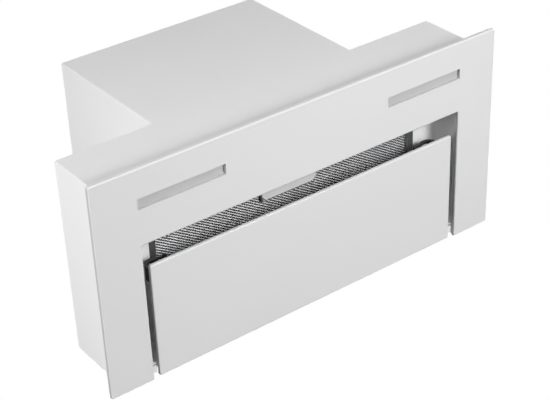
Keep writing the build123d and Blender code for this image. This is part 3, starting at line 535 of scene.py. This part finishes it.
# Radius r and angle a on a grid: the height is a dome, the root of 1 less r to the sixth, less a dent
# in the shape of a cross whose walls slope over the soft widths
def makeScrews(name, settings, finish, body):
    rings, spokes = settings["rings"], settings["spokes"]
    r = np.linspace(0.0, 1.0, rings)[1:, None]
    a = np.linspace(0.0, 2 * np.pi, spokes, endpoint=False)[None, :]
    x = settings["radius"] * r * np.cos(a)
    y = settings["radius"] * r * np.sin(a)
    dome = settings["height"] * np.sqrt(np.clip(1.0 - r ** 6, 0.0, 1.0))
    arm = np.minimum(np.abs(x), np.abs(y))
    reach = np.maximum(np.abs(x), np.abs(y))
    inArm = np.clip((settings["crossHalf"] - arm) / settings["crossSoft"] + 0.5, 0.0, 1.0)
    inReach = np.clip((settings["crossReach"] - reach) / settings["endSoft"] + 0.5, 0.0, 1.0)
    head = np.stack([x, y, dome - settings["crossDepth"] * inArm * inReach], axis=-1).reshape(-1, 3)

    low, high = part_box("duct_collar")
    turns = np.radians(settings["turns"])
    placeX = (low.x + high.x) / 2 + settings["circle"] * np.cos(turns)
    placeY = (low.y + high.y) / 2 + settings["circle"] * np.sin(turns)
    places = np.stack([placeX, placeY, np.full(turns.shape, low.z + settings["flange"])], axis=-1)
    points = (places[:, None, :] + head[None, :, :]).reshape(-1, 3)

    index = np.arange(head.shape[0]).reshape(rings - 1, spokes)
    onward = np.roll(index, -1, axis=1)
    sides = np.stack([index[:-1], index[1:], onward[1:], onward[:-1]], axis=-1).reshape(-1, 4)
    faces = []
    for start in np.arange(turns.size) * head.shape[0]:
        faces += (sides + start).tolist() + [(index[0] + start).tolist(), (index[-1, ::-1] + start).tolist()]
    piece = addPiece(name, points, faces, finish, body)
    corners = np.zeros(len(faces), dtype=int)
    piece.data.polygons.foreach_get("loop_total", corners)
    piece.data.polygons.foreach_set("use_smooth", corners == 4)


makeScrews("ductScrews", screwSettings, "zinc_steel", "hood")
print("screws set")

# Leaf springs. Axes are numbered 0 to 2: along the leaf, across it, and the way that it bows.
# The crest points up or down that last axis, and the spans are shares of the node's length
springSettings = {
    "latchSprings": {
        "node": "latch_springs", "body": "hood", "joint": "latch_slide", "travel": 0.006,
        "along": 0, "across": 2, "bows": 1, "crest": -1, "leaf": 0.0005, "rows": 41,
        "spans": ((0.0, 0.44), (0.56, 1.0)),
    },
    "catchSpringLeft": {
        "node": "catch_spring_left", "body": "flap", "joint": "catch_left_slide", "travel": 0.0025,
        "along": 2, "across": 1, "bows": 0, "crest": -1, "leaf": 0.0004, "rows": 41,
        "spans": ((0.0, 1.0),),
    },
    "catchSpringRight": {
        "node": "catch_spring_right", "body": "flap", "joint": "catch_right_slide", "travel": 0.0025,
        "along": 2, "across": 1, "bows": 0, "crest": 1, "leaf": 0.0004, "rows": 41,
        "spans": ((0.0, 1.0),),
    },
}


# A strip of even thickness that rises from its feet by the square of the sine of t, with t from 0 to 1
# along it
def makeSpring(name, settings):
    low, high = (np.array(corner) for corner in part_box(settings["node"]))
    along, across, bows, crest = (settings[key] for key in ("along", "across", "bows", "crest"))
    leaf = settings["leaf"]
    feet = low[bows] if crest > 0 else high[bows]
    depth = high[bows] - low[bows]
    t = np.linspace(0.0, 1.0, settings["rows"])
    rise = (depth - leaf) * np.sin(np.pi * t) ** 2
    index = np.arange(t.size * 4).reshape(t.size, 4)
    onward = np.roll(index, -1, axis=1)
    sides = np.stack([index[:-1], onward[:-1], onward[1:], index[1:]], axis=-1).reshape(-1, 4)
    shell = np.concatenate([sides, index[:1, ::-1], index[-1:]])
    points, faces = [], []
    for start, end in settings["spans"]:
        strip = np.zeros((t.size, 4, 3))
        strip[:, :, along] = (low[along] + (high[along] - low[along]) * (start + (end - start) * t))[:, None]
        strip[:, :, bows] = feet + crest * (rise[:, None] + leaf * np.array([0.0, 0.0, 1.0, 1.0]))
        strip[:, :, across] = np.array([low, high, high, low])[:, across]
        faces += (shell + len(points) * index.size).tolist()
        points.append(strip.reshape(-1, 3))
    piece = addPiece(name, np.concatenate(points), faces, "spring_steel", settings["body"])
    solid = bmesh.new()
    solid.from_mesh(piece.data)
    bmesh.ops.recalc_face_normals(solid, faces=solid.faces)
    solid.to_mesh(piece.data)
    solid.free()
    axis, anchor = [0.0, 0.0, 0.0], [0.0, 0.0, 0.0]
    axis[bows], anchor[bows] = 1.0, float(feet)
    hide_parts(settings["node"])
    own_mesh(piece)


for springName, spring in springSettings.items():
    makeSpring(springName, spring)
print("springs bent")
